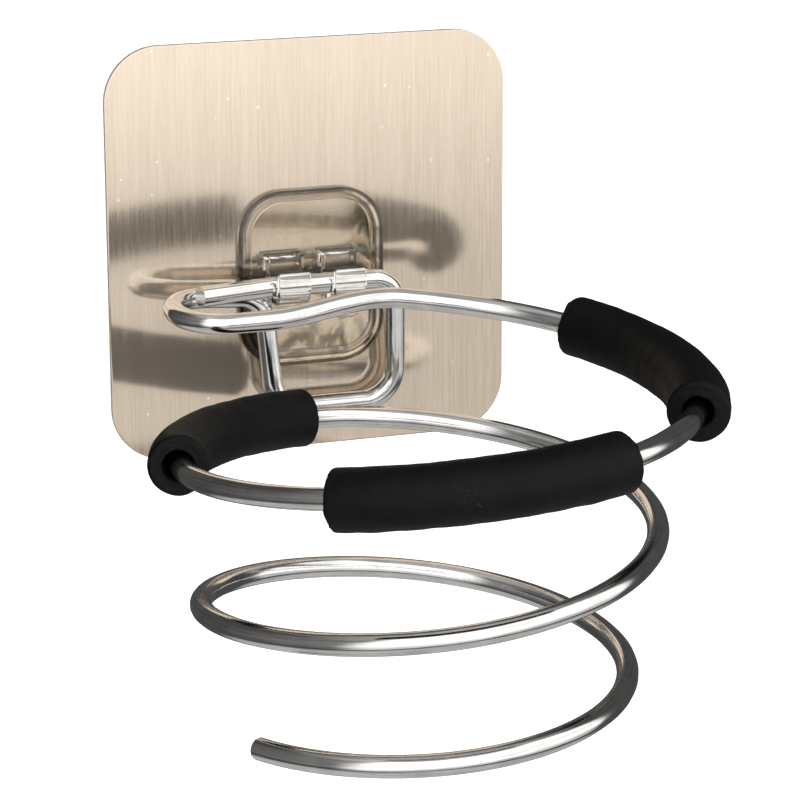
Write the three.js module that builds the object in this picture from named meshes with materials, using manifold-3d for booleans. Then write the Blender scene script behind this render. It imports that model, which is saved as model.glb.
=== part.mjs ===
// Wall-mounted hair dryer holder: an adhesive plate carries a clear two-hook moulding, and one bent
// steel wire hangs on the hooks: hanging frame, side loop, open ring with foam sleeves, spiral cradle.
// Millimetres, +Z up. The wall is the plane y = 0 and the object stands out from it towards -Y,
// so "reach" is a distance out from the wall (-y). x = 0 is the middle of the plate.
import * as THREE from 'three';
import * as BufferGeometryUtils from 'three/addons/utils/BufferGeometryUtils.js';
import Module from 'manifold-3d';

const wasm = await Module();
wasm.setup();

// ---- Driving dimensions -------------------------------------------------------------------------

const plateSize = 100;            // square adhesive plate, side length
const plateCorner = 13.2;         // plate corner radius
const gelThickness = 0.6;         // sticky gel layer on the wall side
const plateThickness = 0.6;       // stiff brushed sheet
const glueThickness = 0.2;        // clear glue film under the hook moulding
const layerGap = 0.1;             // modelling gap between bonded layers

const baseWidth = 36.5;           // clear hook moulding, across
const baseHeight = 43;            // clear hook moulding, up
const baseThickness = 2;
const baseCorner = 11;
const baseBevel = 2;              // width of the sloping rim
const baseBevelRise = 0.9;        // height of the sloping rim
const baseCentreZ = -7.7;         // middle of the moulding, below the plate's middle
const glueInset = 1;              // glue film stays this far inside the moulding

const wireDiameter = 5;
const frameClearance = 0.3;       // frame wire to the front of the clear base
const barReach = 9.4;             // top bar's centre, out from the wall
const barZ = -7.9;                // top bar's centre height: the swing axis

const hookWidth = 8;
const hookSpacing = 14;         // between the middles of the two hooks
const hooksMiddleX = -0.7;
const hookClearance = 0.3;        // bar to hook, all round
const hookWall = 1.6;             // front lip
const hookFloor = 1.8;            // under the bar
const lipRise = 3.8;              // lip top above the bar's centre
const rootRise = 6.2;             // hook's back wall above the bar's centre

const freeEndX = -31.2;           // cut end of the top bar
const flareX = -12;               // where the top bar turns away from the wall
const freeEndReach = 13.6;        // cut end, out from the wall
const barRightX = 18.8;           // right top corner of the hanging frame
const frameRightX = 19.8;         // right bottom corner
const frameLeftX = -10.9;         // left bottom corner
const crossTuck = 3.1;            // left top corner's outer side, in from the left hook's side
const frameBottomZ = -38.7;
const crossZ = -10.8;             // left top corner, where the wire passes behind the top bar
const topBend = 6;                // centreline bend radii of the hanging frame
const bottomBend = 8;
const crossBend = 6.5;
const flareBend = 14;

const loopLeftX = -38.2;          // side loop, centreline at its left end
const loopBackReach = 4.9;        // side loop's wall-side arm
const loopBackZ = -9.4;
const loopFrontReach = 28.6;      // side loop's outer arm
const loopFrontZ = -11.2;
const loopBendEase = 0.9;         // loop bends are this much tighter than a true half circle
const loopEaseX = -20;            // outer arm is straight up to here

const ringCentreX = 2.4;
const ringBackReach = 25.6;       // wall side of the ring, out from the wall
const ringRadius = 56.8;          // top turn, to the wire's centre
const spiralRadius = 47.5;        // lower turns
const spiralShiftX = -5.5;        // lower turns sit this far to the left
const taperFrom = 347;            // degrees round from the wall side, clockwise seen from above
const taperTo = 577;
const spiralStart = 12;
const spiralEnd = 965;
const quarterTurnHeights = [      // wire centre at each quarter turn
  -7.7, -17, -22.3, -30.5, -37, -47.3, -56.5, -62.9, -70.9, -78.9, -84.6, -87.4,
];

const sleeveWall = 3.4;           // foam thickness
const sleeveClearance = 0.9;      // wire to foam, all round
const sleeves = [                 // degrees round the ring
  { name: 'foam_sleeve_right', from: 54, to: 121 },
  { name: 'foam_sleeve_front', from: 158.5, to: 222.5 },
  { name: 'foam_sleeve_left', from: 281, to: 347.5 },
];

// ---- Derived levels, as reach from the wall -----------------------------------------------------

const wireRadius = wireDiameter / 2;
const plateBack = gelThickness + layerGap;
const glueBack = plateBack + plateThickness + layerGap;
const baseBack = glueBack + glueThickness + layerGap;
const baseFront = baseBack + baseThickness;
const frameReach = baseFront + frameClearance + wireRadius;
const loopBend = (loopFrontReach - loopBackReach) / 2 - loopBendEase;
const ringReach = ringBackReach + ringRadius;
const sleeveBoreRadius = wireRadius + sleeveClearance;
const leftHookSide = hooksMiddleX - (hookSpacing + hookWidth) / 2;
const crossLeftX = leftHookSide + crossTuck - wireDiameter;

// ---- Mesh resolution ----------------------------------------------------------------------------

const wireSides = 10;
const sleeveSides = 16;
const cornerSteps = 8;
const bendStep = 15;              // degrees of bend for each step of the wire
const spiralStep = 6;             // degrees round the spiral for each step of the wire
const sleeveStep = 5;

// ---- Helpers ------------------------------------------------------------------------------------

const radians = THREE.MathUtils.degToRad;
const at = (x, reach, z) => new THREE.Vector3(x, -reach, z);

// A path through given points, stepped from point to point, so it can be fine in the bends only.
class Route extends THREE.Curve {
  constructor(points) {
    super();
    this.points = points;
  }

  getPoint(t, target = new THREE.Vector3()) {
    const place = t * (this.points.length - 1);
    const i = Math.min(Math.floor(place), this.points.length - 2);
    return target.lerpVectors(this.points[i], this.points[i + 1], place - i);
  }

  getTangent(t, target = new THREE.Vector3()) {
    const last = this.points.length - 1;
    const i = Math.round(t * last);
    const before = this.points[Math.max(i - 1, 0)];
    const here = this.points[i];
    const after = this.points[Math.min(i + 1, last)];
    const arriving = here.clone().sub(before).normalize();
    const leaving = after.clone().sub(here).normalize();
    return target.addVectors(arriving, leaving).normalize();
  }

  getUtoTmapping(u) {
    return u;
  }
}

// Round bend between two straight runs: points on the arc of the given radius.
function bend(before, corner, after, radius) {
  const arriving = corner.clone().sub(before).normalize();
  const leaving = after.clone().sub(corner).normalize();
  const turn = arriving.angleTo(leaving);
  const toArc = radius * Math.tan(turn / 2);
  const start = corner.clone().addScaledVector(arriving, -toArc);
  const inward = leaving.clone().addScaledVector(arriving, -leaving.dot(arriving)).normalize();
  const steps = Math.max(2, Math.ceil(THREE.MathUtils.radToDeg(turn) / bendStep));
  const points = [];
  for (let i = 0; i <= steps; i++) {
    const angle = (turn * i) / steps;
    points.push(start.clone()
      .addScaledVector(arriving, radius * Math.sin(angle))
      .addScaledVector(inward, radius * (1 - Math.cos(angle))));
  }
  return points;
}

// Smooth value from evenly spaced stations, one each quarter turn.
function stationValue(stations, degrees) {
  const place = degrees / 90;
  const i = Math.min(Math.floor(place), stations.length - 2);
  const value = (k) => {
    if (k < 0) return 2 * stations[0] - stations[1];
    if (k >= stations.length) return 2 * stations.at(-1) - stations.at(-2);
    return stations[k];
  };
  const f = place - i;
  const [a, b, c, d] = [value(i - 1), value(i), value(i + 1), value(i + 2)];
  return b + 0.5 * f * (c - a + f * (2 * a - 5 * b + 4 * c - d + f * (3 * (b - c) + d - a)));
}

// A point of the ring and spiral, clockwise from above, 0 at the wall side.
function spiralPoint(degrees) {
  const taper = THREE.MathUtils.smoothstep(degrees, taperFrom, taperTo);
  const radius = THREE.MathUtils.lerp(ringRadius, spiralRadius, taper);
  const angle = radians(degrees);
  return at(
    ringCentreX + spiralShiftX * taper + radius * Math.sin(angle),
    ringReach - radius * Math.cos(angle),
    stationValue(quarterTurnHeights, degrees),
  );
}

function spiralPoints(from, to, step) {
  const steps = Math.ceil((to - from) / step);
  return Array.from({ length: steps + 1 }, (_, i) => spiralPoint(from + ((to - from) * i) / steps));
}

function ring(radius, sides) {
  const circle = new THREE.Shape();
  for (let i = 0; i < sides; i++) {
    const angle = (2 * Math.PI * i) / sides;
    const [x, y] = [radius * Math.cos(angle), radius * Math.sin(angle)];
    if (i === 0) circle.moveTo(x, y);
    else circle.lineTo(x, y);
  }
  return circle;
}

function along(points, section) {
  const steps = points.length - 1;
  return new THREE.ExtrudeGeometry(section, { steps, bevelEnabled: false, extrudePath: new Route(points) });
}

function roundedRectangle(width, height, radius) {
  const [w, h] = [width / 2, height / 2];
  const outline = new THREE.Shape();
  outline.moveTo(-w + radius, -h);
  outline.lineTo(w - radius, -h);
  outline.absarc(w - radius, -h + radius, radius, -Math.PI / 2, 0);
  outline.absarc(w - radius, h - radius, radius, 0, Math.PI / 2);
  outline.absarc(-w + radius, h - radius, radius, Math.PI / 2, Math.PI);
  outline.absarc(-w + radius, -h + radius, radius, Math.PI, 1.5 * Math.PI);
  return outline;
}

// Layer parallel to the wall, from one reach to a further one.
function layer(outline, reach, thickness) {
  const sheet = new THREE.ExtrudeGeometry(outline, {
    depth: thickness, bevelEnabled: false, curveSegments: cornerSteps,
  });
  return sheet.rotateX(Math.PI / 2).translate(0, -reach, 0);
}

function solidOf(geometry) {
  const bare = geometry.index ? geometry.toNonIndexed() : geometry.clone();
  bare.deleteAttribute('normal');
  bare.deleteAttribute('uv');
  const merged = BufferGeometryUtils.mergeVertices(bare, 1e-3);
  const vertProperties = new Float32Array(merged.attributes.position.array);
  const triVerts = new Uint32Array(merged.index.array);
  return new wasm.Manifold(new wasm.Mesh({ numProp: 3, vertProperties, triVerts }));
}

function geometryOf(solid) {
  const mesh = solid.getMesh();
  const geometry = new THREE.BufferGeometry();
  geometry.setAttribute('position', new THREE.BufferAttribute(mesh.vertProperties, 3));
  geometry.setIndex(new THREE.BufferAttribute(mesh.triVerts, 1));
  geometry.computeVertexNormals();
  return geometry;
}

// ---- Plate and hook moulding --------------------------------------------------------------------

const plateOutline = roundedRectangle(plateSize, plateSize, plateCorner);

function adhesiveGel() {
  return layer(plateOutline, 0, gelThickness);
}

function brushedPlate() {
  return layer(plateOutline, plateBack, plateThickness);
}

function glueFilm() {
  const outline = roundedRectangle(
    baseWidth - 2 * glueInset, baseHeight - 2 * glueInset, baseCorner - glueInset);
  return layer(outline, glueBack, glueThickness).translate(0, 0, baseCentreZ);
}

// Slab with a sloping rim on its front: bevelled front and back, then the back half is cut away.
function hookBase() {
  const outline = roundedRectangle(
    baseWidth - 2 * baseBevel, baseHeight - 2 * baseBevel, baseCorner - baseBevel);
  const straight = baseThickness - baseBevelRise;
  const slab = new THREE.ExtrudeGeometry(outline, {
    depth: 2 * straight, curveSegments: cornerSteps,
    bevelThickness: baseBevelRise, bevelSize: baseBevel, bevelSegments: 1,
  });
  slab.rotateX(Math.PI / 2).translate(0, -(baseBack - straight), baseCentreZ);
  const front = new THREE.BoxGeometry(2 * baseWidth, 2 * baseThickness, 2 * baseHeight);
  front.translate(0, -(baseBack + baseThickness), baseCentreZ);
  return solidOf(slab).intersect(solidOf(front));
}

// J section of a hook: back wall, round seat under the bar, upright front lip.
function hookSection() {
  const seat = wireRadius + hookClearance;
  const lipFront = barReach + seat + hookWall;
  const floor = barZ - seat - hookFloor;
  const inBase = baseFront - baseThickness / 2;
  const section = new THREE.Shape();
  section.moveTo(inBase, barZ + rootRise);
  section.lineTo(inBase, floor);
  section.lineTo(barReach, floor);
  section.absellipse(barReach, barZ, lipFront - barReach, barZ - floor, -Math.PI / 2, 0);
  section.lineTo(lipFront, barZ + lipRise - hookWall / 2);
  section.absarc(lipFront - hookWall / 2, barZ + lipRise - hookWall / 2, hookWall / 2, 0, Math.PI);
  section.lineTo(barReach + seat, barZ);
  section.absarc(barReach, barZ, seat, 0, -Math.PI, true);
  section.lineTo(barReach - seat, barZ + rootRise);
  section.closePath();
  return section;
}

function hook(middleX) {
  const body = new THREE.ExtrudeGeometry(hookSection(), {
    depth: hookWidth, bevelEnabled: false, curveSegments: cornerSteps,
  });
  const outward = new THREE.Vector3(0, -1, 0);
  const up = new THREE.Vector3(0, 0, 1);
  const left = new THREE.Vector3(-1, 0, 0);
  body.applyMatrix4(new THREE.Matrix4().makeBasis(outward, up, left));
  return solidOf(body.translate(middleX + hookWidth / 2, 0, 0));
}

function hookMoulding() {
  const leftHook = hook(hooksMiddleX - hookSpacing / 2);
  const rightHook = hook(hooksMiddleX + hookSpacing / 2);
  return geometryOf(hookBase().add(leftHook).add(rightHook));
}

// ---- Wire rack ----------------------------------------------------------------------------------

// From the cut end, through the hooks, round the hanging frame and out into the side loop.
function framePoints() {
  const corners = [
    { place: at(freeEndX, freeEndReach, barZ) },
    { place: at(flareX, barReach, barZ), radius: flareBend },
    { place: at(barRightX, barReach, barZ), radius: topBend },
    { place: at(frameRightX, frameReach, frameBottomZ), radius: bottomBend },
    { place: at(frameLeftX, frameReach, frameBottomZ), radius: bottomBend },
    { place: at(crossLeftX, frameReach, crossZ), radius: crossBend },
    { place: at(loopLeftX, loopBackReach, loopBackZ), radius: loopBend },
    { place: at(loopLeftX, loopFrontReach, loopFrontZ), radius: loopBend },
    { place: at(loopEaseX, loopFrontReach, loopFrontZ) },
  ];
  const points = [corners[0].place];
  for (let i = 1; i < corners.length - 1; i++) {
    points.push(...bend(corners[i - 1].place, corners[i].place, corners[i + 1].place, corners[i].radius));
  }
  points.push(corners.at(-1).place);
  return points;
}

// Easy curve that carries the loop's outer arm into the ring without a kink.
function easePoints() {
  const start = at(loopEaseX, loopFrontReach, loopFrontZ);
  const end = spiralPoint(spiralStart);
  const handle = start.distanceTo(end) / 3;
  const ringDirection = spiralPoint(spiralStart + 1).sub(end).normalize();
  const curve = new THREE.CubicBezierCurve3(
    start,
    start.clone().add(new THREE.Vector3(handle, 0, 0)),
    end.clone().addScaledVector(ringDirection, -handle),
    end,
  );
  return curve.getPoints(cornerSteps).slice(1, -1);
}

function wireRack() {
  const route = [...framePoints(), ...easePoints(), ...spiralPoints(spiralStart, spiralEnd, spiralStep)];
  return along(route, ring(wireRadius, wireSides));
}

function foamSleeve(from, to) {
  const section = ring(sleeveBoreRadius + sleeveWall, sleeveSides);
  section.holes.push(ring(sleeveBoreRadius, sleeveSides));
  return along(spiralPoints(from, to, sleeveStep), section);
}

// ---- Materials and assembly ---------------------------------------------------------------------

const finish = (color, roughness, metalness, opacity = 1) =>
  new THREE.MeshStandardMaterial({ color, roughness, metalness, opacity, transparent: opacity < 1 });

const champagne = finish(0xbfae98, 0.35, 0.8);
const chrome = finish(0xd0d0ce, 0.12, 1);
const blackFoam = finish(0x141414, 0.85, 0);
const clearPlastic = finish(0xe6e2da, 0.05, 0, 0.35);
const clearGlue = finish(0xe0d8c8, 0.2, 0, 0.4);
const paleGel = finish(0xd8d8d4, 0.4, 0, 0.8);

function part(name, geometry, material) {
  const mesh = new THREE.Mesh(geometry, material);
  mesh.name = name;
  return mesh;
}

const holder = new THREE.Group();
holder.add(
  part('adhesive_gel', adhesiveGel(), paleGel),
  part('brushed_plate', brushedPlate(), champagne),
  part('glue_film', glueFilm(), clearGlue),
  part('hook_moulding', hookMoulding(), clearPlastic),
  part('wire_rack', wireRack(), chrome),
);
for (const sleeve of sleeves) {
  holder.add(part(sleeve.name, foamSleeve(sleeve.from, sleeve.to), blackFoam));
}

export default holder;
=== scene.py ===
# Wall holder for a hair dryer: an adhesive plate with a brushed champagne face, a clear moulding with
# two open hooks, and one bent chromed wire with three foam sleeves. The wall is the plane y = 0 and
# "reach" is the distance out from it, along -Y. Sizes below are in millimetres.
import math

import bmesh
import bpy
from mathutils import Matrix, Vector


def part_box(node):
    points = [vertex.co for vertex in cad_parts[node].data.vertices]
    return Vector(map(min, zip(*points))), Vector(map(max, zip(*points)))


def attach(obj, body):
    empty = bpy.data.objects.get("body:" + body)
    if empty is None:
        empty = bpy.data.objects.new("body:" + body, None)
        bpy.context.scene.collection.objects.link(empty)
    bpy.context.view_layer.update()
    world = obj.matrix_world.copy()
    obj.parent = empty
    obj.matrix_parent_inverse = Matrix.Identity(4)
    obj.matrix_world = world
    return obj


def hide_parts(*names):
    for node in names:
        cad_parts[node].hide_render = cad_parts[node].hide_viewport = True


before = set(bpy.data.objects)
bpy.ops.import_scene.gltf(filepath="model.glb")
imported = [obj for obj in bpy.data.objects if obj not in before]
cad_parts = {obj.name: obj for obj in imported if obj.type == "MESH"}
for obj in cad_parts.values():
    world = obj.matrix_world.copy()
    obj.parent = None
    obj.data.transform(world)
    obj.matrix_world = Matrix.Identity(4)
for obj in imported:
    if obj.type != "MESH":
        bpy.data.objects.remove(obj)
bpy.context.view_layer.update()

MM = 0.001

# ---- Sizes ---------------------------------------------------------------------------------------

PLATE_CORNER = 13.2            # corner radius of plate and gel
PLATE_EDGE = 0.12              # softened front edge of the plate
GEL_EDGE = 0.15
GLUE_CORNER = 10
GLUE_EDGE = 0.06
FACE_RIM = 0.3                 # narrow rim of faces that keeps the shading of a flat face flat

BASE_CORNER = 11               # clear moulding, corner radius
BASE_SLOPE = 2.4               # width of the sloping rim
BASE_SLOPE_RISE = 0.9          # how far the outline lies behind the flat front face
BASE_THICKNESS = 2
BASE_FRONT = 3.7               # its flat front face, out from the wall
LAYER_GAP = 0.1                # between the glue and the moulding
RAISED_LINE = ((0.1, 0), (0.35, 0.16), (0.3, 0))     # insets inside the rim and how far each goes back

WIRE = 5                       # wire diameter
WIRE_SIDES = 16
CUT_CHAMFER = 0.45             # broken edge of the two cut ends
CUT_STEP = 0.9                 # first short step of the wire, longer than the chamfer
BAR_REACH = 9.4                # top bar, its centre
BAR_Z = -7.9
FRAME_REACH = 6.5              # hanging frame, its centre
FREE_END = (-31.2, 13.6)       # x and reach of the cut end of the top bar
FLARE_X = -12
BAR_RIGHT_X = 18.8
FRAME_RIGHT_X = 19.8
FRAME_LEFT_X = -10.9
CROSS_LEFT_X = -13.6
FRAME_BOTTOM_Z = -38.7
CROSS_Z = -10.8
TOP_BEND = 6
BOTTOM_BEND = 8
CROSS_BEND = 6.5
FLARE_BEND = 14

LOOP_LEFT_X = -38.2            # side loop
LOOP_BACK = (4.9, -9.4)        # reach and height of its wall-side arm
LOOP_FRONT = (28.6, -11.2)     # reach and height of its outer arm
LOOP_STRAIGHT = 1.8            # about what is left straight between its two bends
LOOP_BEND = (LOOP_FRONT[0] - LOOP_BACK[0] - LOOP_STRAIGHT) / 2
LOOP_EASE_X = -20              # where the outer arm starts to ease into the ring
EASE_STEPS = 32

RING_X = 2.4                   # ring and spiral; degrees run clockwise from above, from the wall side
RING_BACK = 25.6               # reach of the ring's wall side
RING_RADIUS = 56.8
RING_REACH = RING_BACK + RING_RADIUS
SPIRAL_RADIUS = 47.5
SPIRAL_SHIFT = -5.5            # how far the narrow turns stand to the left of the ring
TAPER_FROM, TAPER_TO = 347, 577     # degrees between which the ring narrows to the spiral
SPIRAL_START, SPIRAL_END = 12, 965
SPIRAL_STEP = 1.5
QUARTER_TURN_HEIGHTS = (-7.7, -17, -22.3, -30.5, -37, -47.3, -56.5, -62.9, -70.9, -78.9, -84.6, -87.4)

SLEEVE_BORE = 6.8
SLEEVE_ROUNDING = 0.9          # rounded edge of the cut ends
BORE_ROUNDING = 0.5            # share of that rounding on the bore's edge
SLEEVE_SPRING = 0.5            # how far the straight foam tube stands off the middle of the bent wire
CUT_STATIONS = (0.04, 0.12, 0.24, 0.4, 0.6, 0.9, 1.3, 1.7)     # fine steps in from a cut end
CUT_DEGREES = 2                # degrees at each end that those steps take up
SLEEVE_STEPS = 120
SLEEVE_SIDES = 48
CUT_FACE_DEPTH = 0.5           # how deep the pitted cut face reaches
SLEEVES = {                    # start and end in degrees, outer diameter, start of the swell's wave
    "right": (54, 121, 14.1, 5),
    "front": (158.5, 222.5, 13.5, 5),
    "left": (281, 347.5, 13.6, 4),
}

HOOKS_MIDDLE = -0.7
HOOK_SPACING = 14
HOOK_MIDDLES = (HOOKS_MIDDLE - HOOK_SPACING / 2, HOOKS_MIDDLE + HOOK_SPACING / 2)
HOOK_WIDTH = 8
HOOK_PLAY = 0.3                # between the bar and its seat
HOOK_SEAT = WIRE / 2 + HOOK_PLAY     # radius of the round seat
HOOK_LIP = 1.6                 # thickness of the front lip
HOOK_FLOOR = 1.8               # thickness under the seat
HOOK_LIP_RISE = 3.8            # top of the lip over the bar's centre
HOOK_ROOT_RISE = 6.2           # top of the root over the bar's centre
HOOK_ROOT_TOP = BAR_Z + HOOK_ROOT_RISE
HOOK_ROOT_LOW = BAR_Z - HOOK_SEAT - HOOK_FLOOR
HOOK_BACK = 2.7                # reach of a hook's back, sunk in the moulding
HOOK_EDGE = 0.35               # rounded edges of the hooks
HOOK_FLARE = 0.9               # flared root where a hook grows out of the moulding
ROOT_STEPS = ((1.0, 0.35), (0.45, 0.8))     # share of the flare and rise of each step of a root

CORNER_STEPS = 16              # faces round a corner of plate, glue and moulding
TOUCHING = 1e-6                # metres, for places that should be equal


# ---- Small helpers -------------------------------------------------------------------------------

def at(x, reach, z):
    return Vector((x, -reach, z)) * MM


def smooth_step(value, low, high):
    t = min(max((value - low) / (high - low), 0), 1)
    return t * t * (3 - 2 * t)


def deselect():
    if bpy.context.mode != "OBJECT":
        bpy.ops.object.mode_set(mode="OBJECT")
    bpy.ops.object.select_all(action="DESELECT")


def make_active(piece):
    deselect()
    piece.select_set(True)
    bpy.context.view_layer.objects.active = piece


def named(piece, name):
    piece.name = name
    piece.data.name = name
    return piece


def settle(piece):
    """Puts the piece's place and size into its mesh."""
    make_active(piece)
    bpy.ops.object.transform_apply(location=True, rotation=True, scale=True)
    return piece


def block(name, centre, size):
    """A plain box to shape further."""
    deselect()
    bpy.ops.mesh.primitive_cube_add(size=1, location=centre, scale=size)
    return settle(named(bpy.context.object, name))


def pick(piece, kind, wanted):
    """In edit mode, selects only the vertices, edges or faces that the test accepts."""
    make_active(piece)
    bpy.ops.object.mode_set(mode="EDIT")
    bpy.ops.mesh.select_mode(type=kind)
    bpy.ops.mesh.select_all(action="DESELECT")
    mesh = bmesh.from_edit_mesh(piece.data)
    for element in {"VERT": mesh.verts, "EDGE": mesh.edges, "FACE": mesh.faces}[kind]:
        if wanted(element):
            element.select_set(True)
    mesh.select_flush_mode()
    bmesh.update_edit_mesh(piece.data)


def edge_middle(edge):
    return (edge.verts[0].co + edge.verts[1].co) / 2


def edge_run(edge):
    return (edge.verts[1].co - edge.verts[0].co).normalized()


def round_corners(piece, radius):
    """Rounds the four corners of a sheet that lies along the wall."""
    pick(piece, "EDGE", lambda e: abs(edge_run(e).y) > 0.9)
    bpy.ops.mesh.bevel(offset=radius * MM, segments=CORNER_STEPS, affect="EDGES")


def finish_mesh(piece, smooth_angle):
    """Merges doubles, turns all faces outwards and smooths what is gentler than the angle."""
    make_active(piece)
    bpy.ops.object.mode_set(mode="EDIT")
    bpy.ops.mesh.select_all(action="SELECT")
    bpy.ops.mesh.remove_doubles(threshold=TOUCHING)
    bpy.ops.mesh.normals_make_consistent(inside=False)
    bpy.ops.object.mode_set(mode="OBJECT")
    bpy.ops.object.shade_smooth_by_angle(angle=math.radians(smooth_angle))
    return piece


def apply_modifier(piece, kind, **settings):
    make_active(piece)
    modifier = piece.modifiers.new(kind.title(), kind)
    for key, value in settings.items():
        setattr(modifier, key, value)
    bpy.ops.object.modifier_apply(modifier=modifier.name)


def add_solid(piece, addition):
    """Joins a closed shape to the piece and removes the shape."""
    apply_modifier(piece, "BOOLEAN", operation="UNION", object=addition, solver="EXACT")
    bpy.data.objects.remove(addition)


# ---- Shader maths --------------------------------------------------------------------------------

class Wave:
    """A number in a shader that ordinary sums work on."""

    def __init__(self, sheet, socket):
        self.sheet = sheet
        self.socket = socket

    def maths(self, operation, *values):
        return self.sheet.node("ShaderNodeMath", {"operation": operation}, values)

    def __add__(self, other):
        return self.maths("ADD", self, other)

    def __sub__(self, other):
        return self.maths("SUBTRACT", self, other)

    def __rsub__(self, other):
        return self.maths("SUBTRACT", other, self)

    def __mul__(self, other):
        return self.maths("MULTIPLY", self, other)

    def __truediv__(self, other):
        return self.maths("DIVIDE", self, other)

    def __pow__(self, other):
        return self.maths("POWER", self, other)

    def __abs__(self):
        return self.maths("ABSOLUTE", self)

    __radd__ = __add__
    __rmul__ = __mul__

    def at_least(self, other):
        return self.maths("MAXIMUM", self, other)

    def at_most(self, other):
        return self.maths("MINIMUM", self, other)

    def step(self, low, high, start=0.0, end=1.0):
        """Goes smoothly from start to end while the number goes from low to high."""
        settings = {"interpolation_type": "SMOOTHSTEP"}
        return self.sheet.node("ShaderNodeMapRange", settings, (self, low, high, start, end))


class Sheet:
    """The node sheet of a material, or of the studio round the object."""

    def __init__(self, owner):
        owner.use_nodes = True
        self.owner = owner
        self.tree = owner.node_tree
        self.tree.nodes.clear()

    def node(self, kind, settings, sockets, out=0):
        """Adds a node: its settings first, then values or links of its sockets, in order or by name."""
        made = self.tree.nodes.new(kind)
        for key, value in settings.items():
            setattr(made, key, value)
        wanted = sockets.items() if isinstance(sockets, dict) else enumerate(sockets)
        for key, value in wanted:
            socket = made.inputs[key]
            if isinstance(value, Wave):
                self.tree.links.new(value.socket, socket)
            elif socket.type == "RGBA":
                socket.default_value = (*value, 1)
            else:
                socket.default_value = value
        return Wave(self, made.outputs[out]) if made.outputs else made

    def mix(self, factor, first, second):
        """Colour between two colours or waves; the node keeps its colours on sockets 6 and 7."""
        return self.node("ShaderNodeMix", {"data_type": "RGBA"}, {0: factor, 6: first, 7: second}, out=2)

    def coordinates(self, kind, scale):
        found = self.node("ShaderNodeTexCoord", {}, (), out=kind)
        return self.node("ShaderNodeMapping", {}, {"Vector": found, "Scale": scale})

    def place(self, scale=(1, 1, 1)):
        """Object coordinates in metres, stretched by a scale on each axis."""
        return self.coordinates("Object", scale)

    def along_wire(self, scale):
        """Surface coordinates of a swept rod."""
        return self.coordinates("UV", scale)

    def axes(self, where):
        return [self.node("ShaderNodeSeparateXYZ", {}, (where,), out=axis) for axis in "XYZ"]

    def depth_inside(self, low, high, corner):
        """Distance from the outline of a rounded rectangle, negative inside it, seen from the front."""
        x, _, z = self.axes(self.place())
        middle, half = (low + high) / 2, (high - low) / 2
        across = abs(x - middle.x) - (half.x - corner)
        up = abs(z - middle.z) - (half.z - corner)
        past_across, past_up = across.at_least(0), up.at_least(0)
        straight = across.at_least(up).at_most(0)
        return (past_across * past_across + past_up * past_up) ** 0.5 + straight - corner

    def noise(self, where, scale, detail=3.0, roughness=0.5):
        sockets = {"Vector": where, "Scale": scale, "Detail": detail, "Roughness": roughness}
        return self.node("ShaderNodeTexNoise", {"noise_dimensions": "3D"}, sockets)

    def cells(self, where, scale):
        return self.node("ShaderNodeTexVoronoi", {"feature": "F1"}, {"Vector": where, "Scale": scale})

    def bump(self, height, strength, distance):
        sockets = {"Height": height, "Strength": strength, "Distance": distance}
        return self.node("ShaderNodeBump", {}, sockets)

    def principled(self, sockets):
        """Ends a material's sheet with its shader and gives the material."""
        shader = self.node("ShaderNodeBsdfPrincipled", {}, sockets)
        self.node("ShaderNodeOutputMaterial", {}, (shader,))
        return self.owner


def material_sheet(name):
    return Sheet(bpy.data.materials.new(name))


# ---- Finishes ------------------------------------------------------------------------------------

def brushed_champagne():
    """Upright brushed streaks in three sizes, with a few bright specks."""
    sheet = material_sheet("brushed_champagne")
    streaks = sheet.noise(sheet.place((1, 0.02, 0.012)), 1700, detail=4, roughness=0.6)
    broad = sheet.noise(sheet.place((1, 0.02, 0.03)), 160, detail=2)
    short = sheet.noise(sheet.place((1, 0.1, 0.05)), 2600, detail=2)
    grain = streaks * 0.55 + short * 0.45
    tone = (grain - 0.5) * 1.2 + (broad - 0.5) * 0.35 + 0.5
    brushed = sheet.mix(tone.step(0.2, 0.8), (0.55, 0.459, 0.36), (0.645, 0.545, 0.44))
    specks = sheet.cells(sheet.place(), 170).step(0.075, 0.04)
    return sheet.principled({
        "Base Color": sheet.mix(specks * 0.4, brushed, (0.95, 0.93, 0.88)),
        "Metallic": 0.82,
        "Roughness": 0.10 + (grain - 0.5) * 0.14,
        "Anisotropic": 0.25,
        "Normal": sheet.bump(grain, 0.15, 0.00004),
    })


def chrome_wire():
    """Chrome over drawn wire: marks along the wire, and duller patches."""
    sheet = material_sheet("chrome_wire")
    cloud = sheet.noise(sheet.place(), 60, detail=2)
    drawn = sheet.noise(sheet.along_wire((60, 34, 1)), 1, detail=3, roughness=0.6)
    patches = sheet.noise(sheet.place(), 170, detail=3)
    marks = drawn * 0.7 + patches * 0.3
    return sheet.principled({
        "Base Color": sheet.mix(marks.step(0.34, 0.62), (0.54, 0.535, 0.525), (0.775, 0.763, 0.74)),
        "Metallic": 1.0,
        "Roughness": 0.11 + cloud * 0.06 + (marks - 0.5) * 0.2,
        "Normal": sheet.bump(drawn, 0.25, 0.00004),
    })


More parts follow.
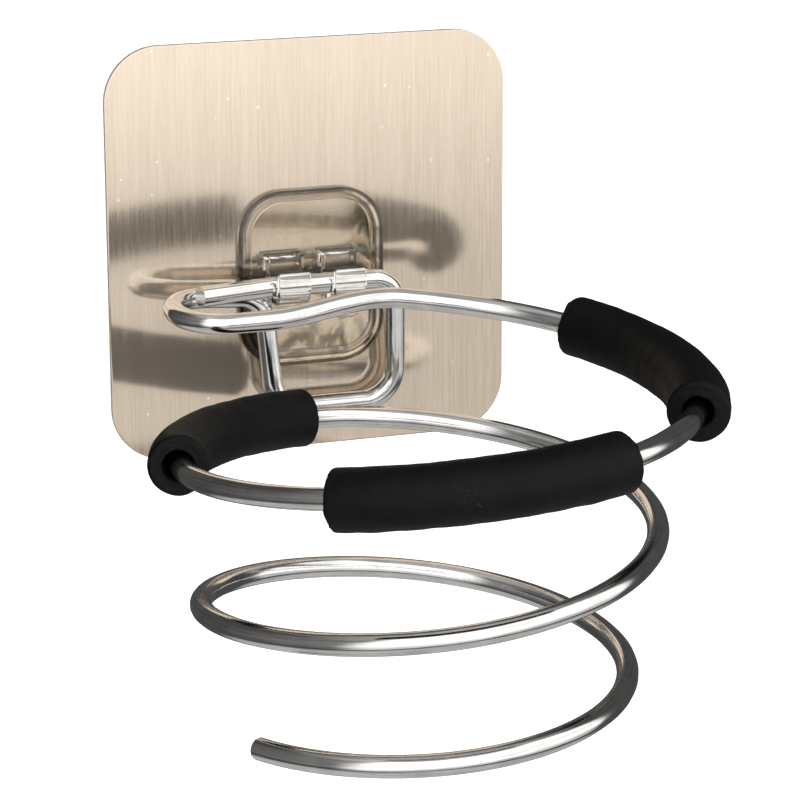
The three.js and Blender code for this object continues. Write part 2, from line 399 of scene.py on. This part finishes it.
def black_foam():
    """Matt black foam with fine pores and a little dust."""
    sheet = material_sheet("black_foam")
    pores = sheet.cells(sheet.place(), 2600)
    skin = sheet.noise(sheet.place(), 700, detail=4, roughness=0.65)
    cloud = sheet.noise(sheet.place(), 60, detail=2)
    shade = skin * 0.6 + cloud * 0.4
    dust = sheet.cells(sheet.place(), 700).step(0.12, 0.06) * cloud.step(0.5, 0.7)
    black = sheet.mix(shade.step(0.3, 0.7), (0.0012, 0.0012, 0.0012), (0.004, 0.004, 0.0039))
    return sheet.principled({
        "Base Color": sheet.mix(dust * 0.35, black, (0.2, 0.2, 0.19)),
        "Roughness": 0.48 + skin * 0.2,
        "Specular IOR Level": 0.14,
        "Normal": sheet.bump(pores * 0.5 + skin * 0.5, 0.3, 0.0001),
    })


def clear_plastic():
    """Clear moulding with painted shade: its outline and raised line are tinted dark brown in place of the
    dark rim that light bent through the plastic would give.
    """
    sheet = material_sheet("clear_plastic")
    flow = sheet.noise(sheet.place((1, 1, 0.4)), 120, detail=2)
    depth = sheet.depth_inside(*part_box("hook_moulding"), BASE_CORNER * MM) / MM
    # painted shade: masks of the outline and the raised line, where the clear plastic is made darker
    outline = depth.step(-1.05, -0.85)
    raised_line_shade = depth.step(-2.6, -2.4) * depth.step(-1.8, -2.0)
    painted_rim_shade = outline.at_least(raised_line_shade * 0.8) * (0.75 + flow * 0.5)
    return sheet.principled({
        # painted shade: the base colour turns dark brown along the outline and the raised line
        "Base Color": sheet.mix(painted_rim_shade, (0.95, 0.94, 0.92), (0.27, 0.235, 0.19)),
        "Roughness": flow * 0.008,
        "IOR": 1.49,
        "Transmission Weight": 1.0,
        "Normal": sheet.bump(flow, 0.02, 0.0001),
    })


def clear_glue():
    sheet = material_sheet("clear_glue")
    wet = sheet.noise(sheet.place(), 300, detail=3)
    return sheet.principled({
        "Base Color": (0.96, 0.93, 0.86),
        "Roughness": 0.04 + wet * 0.1,
        "IOR": 1.45,
        "Transmission Weight": 1.0,
        "Normal": sheet.bump(wet, 0.2, 0.0002),
    })


def adhesive_gel():
    sheet = material_sheet("adhesive_gel")
    haze = sheet.noise(sheet.place(), 90, detail=3)
    return sheet.principled({
        "Base Color": sheet.mix(haze.step(0.3, 0.7), (0.74, 0.74, 0.72), (0.84, 0.84, 0.83)),
        "Roughness": 0.28 + haze * 0.2,
        "IOR": 1.45,
        "Transmission Weight": 0.35,
        "Normal": sheet.bump(haze, 0.1, 0.0003),
    })


def pale_floor():
    sheet = material_sheet("pale_floor")
    cloud = sheet.noise(sheet.place(), 2, detail=1)
    return sheet.principled({
        "Base Color": sheet.mix(cloud, (0.93, 0.93, 0.93), (0.95, 0.95, 0.95)),
        "Roughness": 0.9,
        "Specular IOR Level": 0.0,
        "Emission Color": (1, 1, 1),
        "Emission Strength": 0.75,
    })


# ---- Flat layers ---------------------------------------------------------------------------------

def rounded_slab(name, node, corner, edge, edge_steps=2):
    """A rounded square sheet in the place of its frame node, with a softened front edge."""
    low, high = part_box(node)
    slab = block(name, (low + high) / 2, high - low)
    round_corners(slab, corner)
    pick(slab, "EDGE", lambda e: abs(edge_middle(e).y - low.y) < TOUCHING and len(e.link_faces) == 2
         and abs(e.link_faces[0].normal.y) + abs(e.link_faces[1].normal.y) < 1.5)
    bpy.ops.mesh.bevel(offset=edge * MM, segments=edge_steps, affect="EDGES")
    for facing in (-1, 1):
        pick(slab, "FACE", lambda f: f.normal.y * facing > 0.999 and len(f.verts) > 8)
        bpy.ops.mesh.inset(thickness=FACE_RIM * MM)
    return finish_mesh(slab, smooth_angle=35)


def gel_sheet():
    return rounded_slab("gel_sheet", "adhesive_gel", PLATE_CORNER, GEL_EDGE)


def champagne_plate():
    return rounded_slab("champagne_plate", "brushed_plate", PLATE_CORNER, PLATE_EDGE)


def glue_bead(place, width):
    """Flattened bead; its place and width are in metres."""
    height, depth = width * 0.8, 0.15 * MM
    deselect()
    bpy.ops.mesh.primitive_uv_sphere_add(segments=16, ring_count=10, radius=1, location=place,
                                         scale=(width, depth, height))
    return settle(bpy.context.object)


def glue_layer():
    """Glue film with small beads of squeezed-out glue along its lower edge."""
    beads, first_x, spacing = 11, -6.5, 1.35
    layer = rounded_slab("glue_layer", "glue_film", GLUE_CORNER, GLUE_EDGE, edge_steps=1)
    low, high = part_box("glue_film")
    for i in range(beads):
        width = 0.5 + 0.2 * math.sin(2.1 * i)
        sway = 0.15 * math.sin(3.7 * i)
        place = Vector(((first_x + spacing * i) * MM, (low.y + high.y) / 2, low.z + sway * MM))
        add_solid(layer, glue_bead(place, width * MM))
    return finish_mesh(layer, smooth_angle=35)


# ---- Clear moulding ------------------------------------------------------------------------------

def on_outline(point, centre, size):
    """True for a point on the outer outline of the moulding's rounded rectangle."""
    corner = BASE_CORNER * MM
    across = max(abs(point.x - centre.x) - (size.x / 2 - corner), 0)
    up = max(abs(point.z - centre.z) - (size.z / 2 - corner), 0)
    return math.hypot(across, up) > corner - 10 * TOUCHING


def moulding_base():
    """Rounded rectangle with a sloping rim and a fine raised line just inside the rim."""
    low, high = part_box("hook_moulding")
    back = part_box("glue_film")[0].y - LAYER_GAP * MM
    front = back - BASE_THICKNESS * MM
    size = Vector((high.x - low.x, back - front, high.z - low.z))
    centre = Vector((0, (back + front) / 2, (high.z + low.z) / 2))
    base = block("clear_hook_moulding", centre, size)
    round_corners(base, BASE_CORNER)
    pick(base, "FACE", lambda f: f.normal.y < -0.9)
    bpy.ops.mesh.inset(thickness=BASE_SLOPE * MM, use_even_offset=True)
    pick(base, "VERT", lambda v: abs(v.co.y - front) < TOUCHING and on_outline(v.co, centre, size))
    bpy.ops.transform.translate(value=(0, BASE_SLOPE_RISE * MM, 0))
    square_centimetre = 1e-4
    for thickness, setback in RAISED_LINE:
        pick(base, "FACE", lambda f: f.normal.y < -0.999 and f.calc_area() > square_centimetre)
        bpy.ops.mesh.inset(thickness=thickness * MM)
        bpy.ops.transform.translate(value=(0, setback * MM, 0))
    return base


def arc(middle, across, up, first, last, steps):
    """Points on an ellipse of the given half width and half height, from one angle to another."""
    angles = [math.radians(first + (last - first) * i / steps) for i in range(steps + 1)]
    return [(middle[0] + across * math.cos(a), middle[1] + up * math.sin(a)) for a in angles]


def hook_outline():
    """The J section as (reach, z) points: back wall, rounded floor, upright lip, round seat."""
    bar = (BAR_REACH, BAR_Z)
    lip_round = HOOK_LIP / 2
    lip_top = (BAR_REACH + HOOK_SEAT + HOOK_LIP - lip_round, BAR_Z + HOOK_LIP_RISE - lip_round)
    points = [(HOOK_BACK, HOOK_ROOT_TOP), (HOOK_BACK, HOOK_ROOT_LOW)]
    points += arc(bar, HOOK_SEAT + HOOK_LIP, HOOK_SEAT + HOOK_FLOOR, -90, 0, 12)
    points += arc(lip_top, lip_round, lip_round, 0, 180, 8)
    points += arc(bar, HOOK_SEAT, HOOK_SEAT, 0, -180, 16)
    points.append((BAR_REACH - HOOK_SEAT, HOOK_ROOT_TOP))
    return points


def hook(middle):
    outline = hook_outline()
    mesh = bpy.data.meshes.new("hook")
    left = middle - HOOK_WIDTH / 2
    mesh.from_pydata([at(left, reach, z) for reach, z in outline], [], [list(range(len(outline)))])
    piece = bpy.data.objects.new("hook", mesh)
    bpy.context.scene.collection.objects.link(piece)
    pick(piece, "FACE", lambda f: True)
    bpy.ops.mesh.extrude_region_move(TRANSFORM_OT_translate={"value": (HOOK_WIDTH * MM, 0, 0)})
    bpy.ops.mesh.select_all(action="SELECT")
    bpy.ops.mesh.normals_make_consistent(inside=False)
    back = -HOOK_BACK * MM
    pick(piece, "EDGE", lambda e: abs(edge_run(e).x) < 0.1 and edge_middle(e).y < back - TOUCHING)
    bpy.ops.mesh.bevel(offset=HOOK_EDGE * MM, segments=5, affect="EDGES")
    deselect()
    return piece


def raised_step(x, z, size, rise, slope):
    """Low block with sloping sides that stands on the front face of the moulding."""
    width, height = size
    sunk = 0.4
    centre = at(x, BASE_FRONT + (rise - sunk) / 2, z)
    step = block("step", centre, Vector((width, rise + sunk, height)) * MM)
    pick(step, "FACE", lambda f: f.calc_center_median().y < -(BASE_FRONT + rise) * MM + TOUCHING)
    bpy.ops.transform.resize(value=((width - 2 * slope) / width, 1, (height - 2 * slope) / height))
    pick(step, "EDGE", lambda e: edge_middle(e).y < -BASE_FRONT * MM)
    bpy.ops.mesh.bevel(offset=min(rise, slope) * 0.3 * MM, segments=4, affect="EDGES")
    deselect()
    return step


def gate_mark():
    """Small ring left by the moulding gate."""
    deselect()
    bpy.ops.mesh.primitive_torus_add(major_radius=0.6 * MM, minor_radius=0.12 * MM, major_segments=32,
                                     minor_segments=10, location=at(-1, BASE_FRONT - 0.1, 1.2),
                                     rotation=(math.pi / 2, 0, 0))
    return settle(bpy.context.object)


def hook_with_root(middle):
    """A hook, the flared steps it grows out of and the shoulder above its seat."""
    root_middle, root_height = (HOOK_ROOT_TOP + HOOK_ROOT_LOW) / 2, HOOK_ROOT_TOP - HOOK_ROOT_LOW
    shapes = []
    for share, rise in ROOT_STEPS:
        flare = HOOK_FLARE * share
        size = (HOOK_WIDTH + 2 * flare, root_height + 2 * flare)
        shapes.append(raised_step(middle, root_middle, size, rise, slope=flare * 0.6))
    shapes.append(raised_step(middle, HOOK_ROOT_TOP - 1.6, size=(10.2, 3.2), rise=1.9, slope=0.25))
    shapes.append(hook(middle))
    return shapes


def hook_moulding():
    base = moulding_base()
    low_ledge = raised_step(9.5, -18.6, size=(5.6, 1.1), rise=0.15, slope=0.1)
    for addition in (gate_mark(), low_ledge):
        add_solid(base, addition)
    for middle in HOOK_MIDDLES:
        for addition in hook_with_root(middle):
            add_solid(base, addition)
    return finish_mesh(base, smooth_angle=20)


# ---- Wire ----------------------------------------------------------------------------------------

def bend(before, corner, after, radius):
    """Points on the round bend between two straight runs."""
    degrees_each = 3
    arriving = (corner - before).normalized()
    leaving = (after - corner).normalized()
    turn = arriving.angle(leaving)
    start = corner - arriving * radius * math.tan(turn / 2)
    inward = (leaving - arriving * leaving.dot(arriving)).normalized()
    steps = max(4, math.ceil(math.degrees(turn) / degrees_each))
    return [start + arriving * radius * math.sin(turn * i / steps)
            + inward * radius * (1 - math.cos(turn * i / steps)) for i in range(steps + 1)]


def station_height(degrees):
    """Smooth height through the evenly spaced quarter turns."""
    stations = QUARTER_TURN_HEIGHTS
    place = degrees / 90
    i = min(int(place), len(stations) - 2)
    before = stations[i - 1] if i > 0 else 2 * stations[0] - stations[1]
    after = stations[i + 2] if i + 2 < len(stations) else 2 * stations[-1] - stations[-2]
    here, following, f = stations[i], stations[i + 1], place - i
    bow = 2 * before - 5 * here + 4 * following - after
    return here + 0.5 * f * (following - before + f * (bow + f * (3 * (here - following) + after - before)))


def spiral_point(degrees):
    taper = smooth_step(degrees, TAPER_FROM, TAPER_TO)
    radius = RING_RADIUS + (SPIRAL_RADIUS - RING_RADIUS) * taper
    angle = math.radians(degrees)
    return at(RING_X + SPIRAL_SHIFT * taper + radius * math.sin(angle),
              RING_REACH - radius * math.cos(angle), station_height(degrees))


def spiral_points(start, end, step):
    steps = math.ceil((end - start) / step)
    return [spiral_point(start + (end - start) * i / steps) for i in range(steps + 1)]


def loop_into_ring(start):
    """Eases from the loop's outer arm, which runs along X, into the first degrees of the ring."""
    end = spiral_point(SPIRAL_START)
    handle = (end - start).length / 3
    onward = (spiral_point(SPIRAL_START + 1) - end).normalized()
    controls = (start, start + Vector((handle, 0, 0)), end - onward * handle, end)
    points = []
    for i in range(EASE_STEPS + 1):
        t = i / EASE_STEPS
        weights = ((1 - t) ** 3, 3 * t * (1 - t) ** 2, 3 * t * t * (1 - t), t ** 3)
        points.append(sum((c * w for c, w in zip(controls, weights)), Vector()))
    return points


def wire_route():
    """Centre line of the whole wire: top bar, hanging frame, side loop, ring and spiral."""
    corners = [
        (at(FREE_END[0], FREE_END[1], BAR_Z), 0),
        (at(FLARE_X, BAR_REACH, BAR_Z), FLARE_BEND),
        (at(BAR_RIGHT_X, BAR_REACH, BAR_Z), TOP_BEND),
        (at(FRAME_RIGHT_X, FRAME_REACH, FRAME_BOTTOM_Z), BOTTOM_BEND),
        (at(FRAME_LEFT_X, FRAME_REACH, FRAME_BOTTOM_Z), BOTTOM_BEND),
        (at(CROSS_LEFT_X, FRAME_REACH, CROSS_Z), CROSS_BEND),
        (at(LOOP_LEFT_X, *LOOP_BACK), LOOP_BEND),
        (at(LOOP_LEFT_X, *LOOP_FRONT), LOOP_BEND),
        (at(LOOP_EASE_X, *LOOP_FRONT), 0),
    ]
    first, second = corners[0][0], corners[1][0]
    route = [first, first + (second - first).normalized() * CUT_STEP * MM]
    for before, (corner, radius), after in zip(corners, corners[1:], corners[2:]):
        route += bend(before[0], corner, after[0], radius * MM)
    route += loop_into_ring(corners[-1][0])
    route += spiral_points(SPIRAL_START, SPIRAL_END, SPIRAL_STEP)[1:]
    return route


def bent_rod(name, route, radius, sides, capped, fullness=None):
    """A round rod swept along a route; fullness is an optional share of the radius at each point."""
    deselect()
    bpy.ops.curve.primitive_nurbs_path_add()
    rod = named(bpy.context.object, name)
    rod.location = (0, 0, 0)
    curve = rod.data
    curve.splines.clear()
    spline = curve.splines.new("POLY")
    spline.points.add(len(route) - 1)
    for i, (point, place) in enumerate(zip(spline.points, route)):
        point.co = (*place, 1)
        point.radius = fullness[i] if fullness else 1
    curve.dimensions = "3D"
    curve.twist_mode = "MINIMUM"
    curve.bevel_depth = radius * MM
    curve.bevel_resolution = sides // 2 - 2
    curve.use_fill_caps = capped
    make_active(rod)
    bpy.ops.object.convert(target="MESH")
    return bpy.context.object


def chrome_rack():
    route = wire_route()
    rod = bent_rod("chrome_rack", route, WIRE / 2, WIRE_SIDES, capped=True)
    finish_mesh(rod, smooth_angle=40)
    ends = (route[0], route[-1])
    just_past_radius = WIRE / 2 * MM * 1.01
    pick(rod, "EDGE", lambda e: any((edge_middle(e) - end).length < just_past_radius for end in ends)
         and any(len(f.verts) > 4 for f in e.link_faces))
    bpy.ops.mesh.bevel(offset=CUT_CHAMFER * MM, segments=2, affect="EDGES")
    bpy.ops.object.mode_set(mode="OBJECT")
    return finish_mesh(rod, smooth_angle=40)


# ---- Foam sleeves --------------------------------------------------------------------------------

def sleeve_route(start, end):
    """Centre line of a sleeve, finely stepped at its ends, with each point's distance to an end."""
    per_degree = math.radians(1) * RING_RADIUS
    long_run = end - start - 2 * CUT_DEGREES
    angles = [start] + [start + d / per_degree for d in CUT_STATIONS]
    angles += [start + CUT_DEGREES + long_run * i / SLEEVE_STEPS for i in range(1, SLEEVE_STEPS)]
    angles += [end - d / per_degree for d in reversed(CUT_STATIONS)] + [end]
    route, depths = [], []
    for degrees in angles:
        share = (degrees - start) / (end - start)
        stand_off = SLEEVE_SPRING * (1 - 2 * math.sin(math.pi * share))
        outward = Vector((math.sin(math.radians(degrees)), math.cos(math.radians(degrees)), 0))
        route.append(spiral_point(degrees) + outward * stand_off * MM)
        depths.append(min(degrees - start, end - degrees) * per_degree)
    return route, depths


def edge_drop(depth):
    """How far the rounded edge of a cut end has dropped from the full tube at this depth."""
    left = max(SLEEVE_ROUNDING - depth, 0)
    return SLEEVE_ROUNDING - math.sqrt(SLEEVE_ROUNDING ** 2 - left ** 2)


def on_cut_face(point, route, limit):
    """True for a point on or just inside either cut face of a sleeve."""
    for tip, inside in ((route[0], route[4]), (route[-1], route[-5])):
        along = (tip - inside).normalized()
        if (point - tip).length < limit and abs((point - tip).dot(along)) < CUT_FACE_DEPTH * MM:
            return True
    return False


def foam_texture(name, kind, size):
    texture = bpy.data.textures.new(name, kind)
    texture.noise_scale = size
    return texture


def foam_tube(name, route, depths, radius, wave):
    """Outside and bore of a sleeve in one mesh, with the bore's faces turned towards the wire."""
    bore_radius = SLEEVE_BORE / 2
    swell = [1 + 0.006 * math.sin(0.31 * d + wave) + 0.004 * math.sin(0.83 * d) for d in depths]
    outside = [(1 - edge_drop(d) / radius) * w for d, w in zip(depths, swell)]
    inside = [1 + edge_drop(d) * BORE_ROUNDING / bore_radius for d in depths]
    tube = bent_rod(name, route, radius, SLEEVE_SIDES, capped=False, fullness=outside)
    bore = bent_rod("bore", route, bore_radius, SLEEVE_SIDES, capped=False, fullness=inside)
    pick(bore, "FACE", lambda f: True)
    bpy.ops.mesh.flip_normals()
    deselect()
    bore.select_set(True)
    tube.select_set(True)
    bpy.context.view_layer.objects.active = tube
    bpy.ops.object.join()
    return tube


def close_cut_ends(sleeve, route, limit):
    for tip in (route[0], route[-1]):
        pick(sleeve, "EDGE", lambda e: e.is_boundary and (edge_middle(e) - tip).length < limit)
        bpy.ops.mesh.bridge_edge_loops(number_cuts=7)
        bpy.ops.object.mode_set(mode="OBJECT")


def roughen(sleeve, route, limit):
    """Makes the foam a little uneven all over and pitted on its two cut faces."""
    cut_ends = sleeve.vertex_groups.new(name="cut_ends")
    on_faces = [v.index for v in sleeve.data.vertices if on_cut_face(v.co, route, limit)]
    cut_ends.add(on_faces, 1.0, "REPLACE")
    unevenness = foam_texture("unevenness", "CLOUDS", 4 * MM)
    pits = foam_texture("pits", "VORONOI", 1.1 * MM)
    apply_modifier(sleeve, "DISPLACE", texture=unevenness, texture_coords="LOCAL", strength=0.25 * MM)
    apply_modifier(sleeve, "DISPLACE", texture=pits, texture_coords="LOCAL", strength=0.45 * MM,
                   mid_level=0.7, vertex_group="cut_ends")


def foam_sleeve(side):
    start, end, diameter, wave = SLEEVES[side]
    route, depths = sleeve_route(start, end)
    sleeve = foam_tube(f"foam_{side}", route, depths, diameter / 2, wave)
    near_a_cut = diameter / 2 * 1.2 * MM
    close_cut_ends(sleeve, route, near_a_cut)
    roughen(sleeve, route, near_a_cut)
    make_active(sleeve)
    bpy.ops.object.shade_smooth_by_angle(angle=math.radians(60))
    return sleeve


# ---- Studio --------------------------------------------------------------------------------------

def floor():
    """A pale floor that doesn't show in the chrome and doesn't hold back the room's light."""
    deselect()
    bpy.ops.mesh.primitive_circle_add(vertices=96, radius=9, fill_type="NGON", location=(0, 0, -0.5))
    made = settle(named(bpy.context.object, "floor"))
    made.data.materials.append(pale_floor())
    made.visible_glossy = False
    made.visible_shadow = False


def studio_light():
    """Dim room with one large softbox in front and to the right.

    Azimuth is 0 straight out from the wall and positive to the right, and height is 0 at the
    horizon, both in degrees. The softbox is brighter on its left, and about twice as bright above
    a height of -10 as below it.
    """
    world = bpy.data.worlds.new("studio")
    bpy.context.scene.world = world
    sheet = Sheet(world)
    x, y, z = sheet.axes(sheet.node("ShaderNodeTexCoord", {}, (), out="Generated"))
    degrees = 180 / math.pi
    azimuth = x.maths("ARCTAN2", x, 0 - y) * degrees
    height = z.maths("ARCSINE", z) * degrees
    box_width = azimuth.step(-64, -42) * azimuth.step(88, 80)
    box_low = height.step(-32, -24) * azimuth.step(23, 13, 0.68, 0.88)
    box_high = height.step(-13.2, -7.5) * 0.8
    softbox = box_width * (box_low + box_high) * height.step(66, 62)
    overhead = height.step(50, 75) * 0.45
    below = height.step(-34, -46) * 0.5
    left_fill = azimuth.step(-150, -60) * azimuth.step(-42, -64) * height.step(-30, -10) * 0.16
    room = 0.08
    light = room + overhead + below + left_fill + softbox
    background = sheet.node("ShaderNodeBackground", {}, {"Color": light, "Strength": 1.0})
    sheet.node("ShaderNodeOutputWorld", {}, (background,))


def camera():
    place = Vector((-237.17, -717.79, 160.35)) * MM
    yaw, pitch, roll = (math.radians(a) for a in (19.958, 14.793, -0.193))
    deselect()
    bpy.ops.object.camera_add()
    made = bpy.context.object
    made.name = "camera"
    turn = Matrix.Rotation(-yaw, 4, "Z") @ Matrix.Rotation(math.pi / 2 - pitch, 4, "X")
    made.matrix_world = Matrix.Translation(place) @ turn @ Matrix.Rotation(roll, 4, "Z")
    made.data.lens = 144
    made.data.sensor_width = 36
    bpy.context.scene.camera = made


# ---- Assembly ------------------------------------------------------------------------------------

def assemble(piece, finish, body, node):
    deselect()
    piece.data.materials.clear()
    piece.data.materials.append(finish)
    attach(piece, body)
    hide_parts(node)
    return piece


camera()
floor()
studio_light()
bpy.context.scene.view_settings.view_transform = "Standard"

assemble(gel_sheet(), adhesive_gel(), "wall_plate", "adhesive_gel")
assemble(champagne_plate(), brushed_champagne(), "wall_plate", "brushed_plate")
assemble(glue_layer(), clear_glue(), "wall_plate", "glue_film")
assemble(hook_moulding(), clear_plastic(), "wall_plate", "hook_moulding")
assemble(chrome_rack(), chrome_wire(), "rack", "wire_rack")
foam = black_foam()
for side in SLEEVES:
    sleeve = assemble(foam_sleeve(side), foam, f"sleeve_{side}", f"foam_sleeve_{side}")
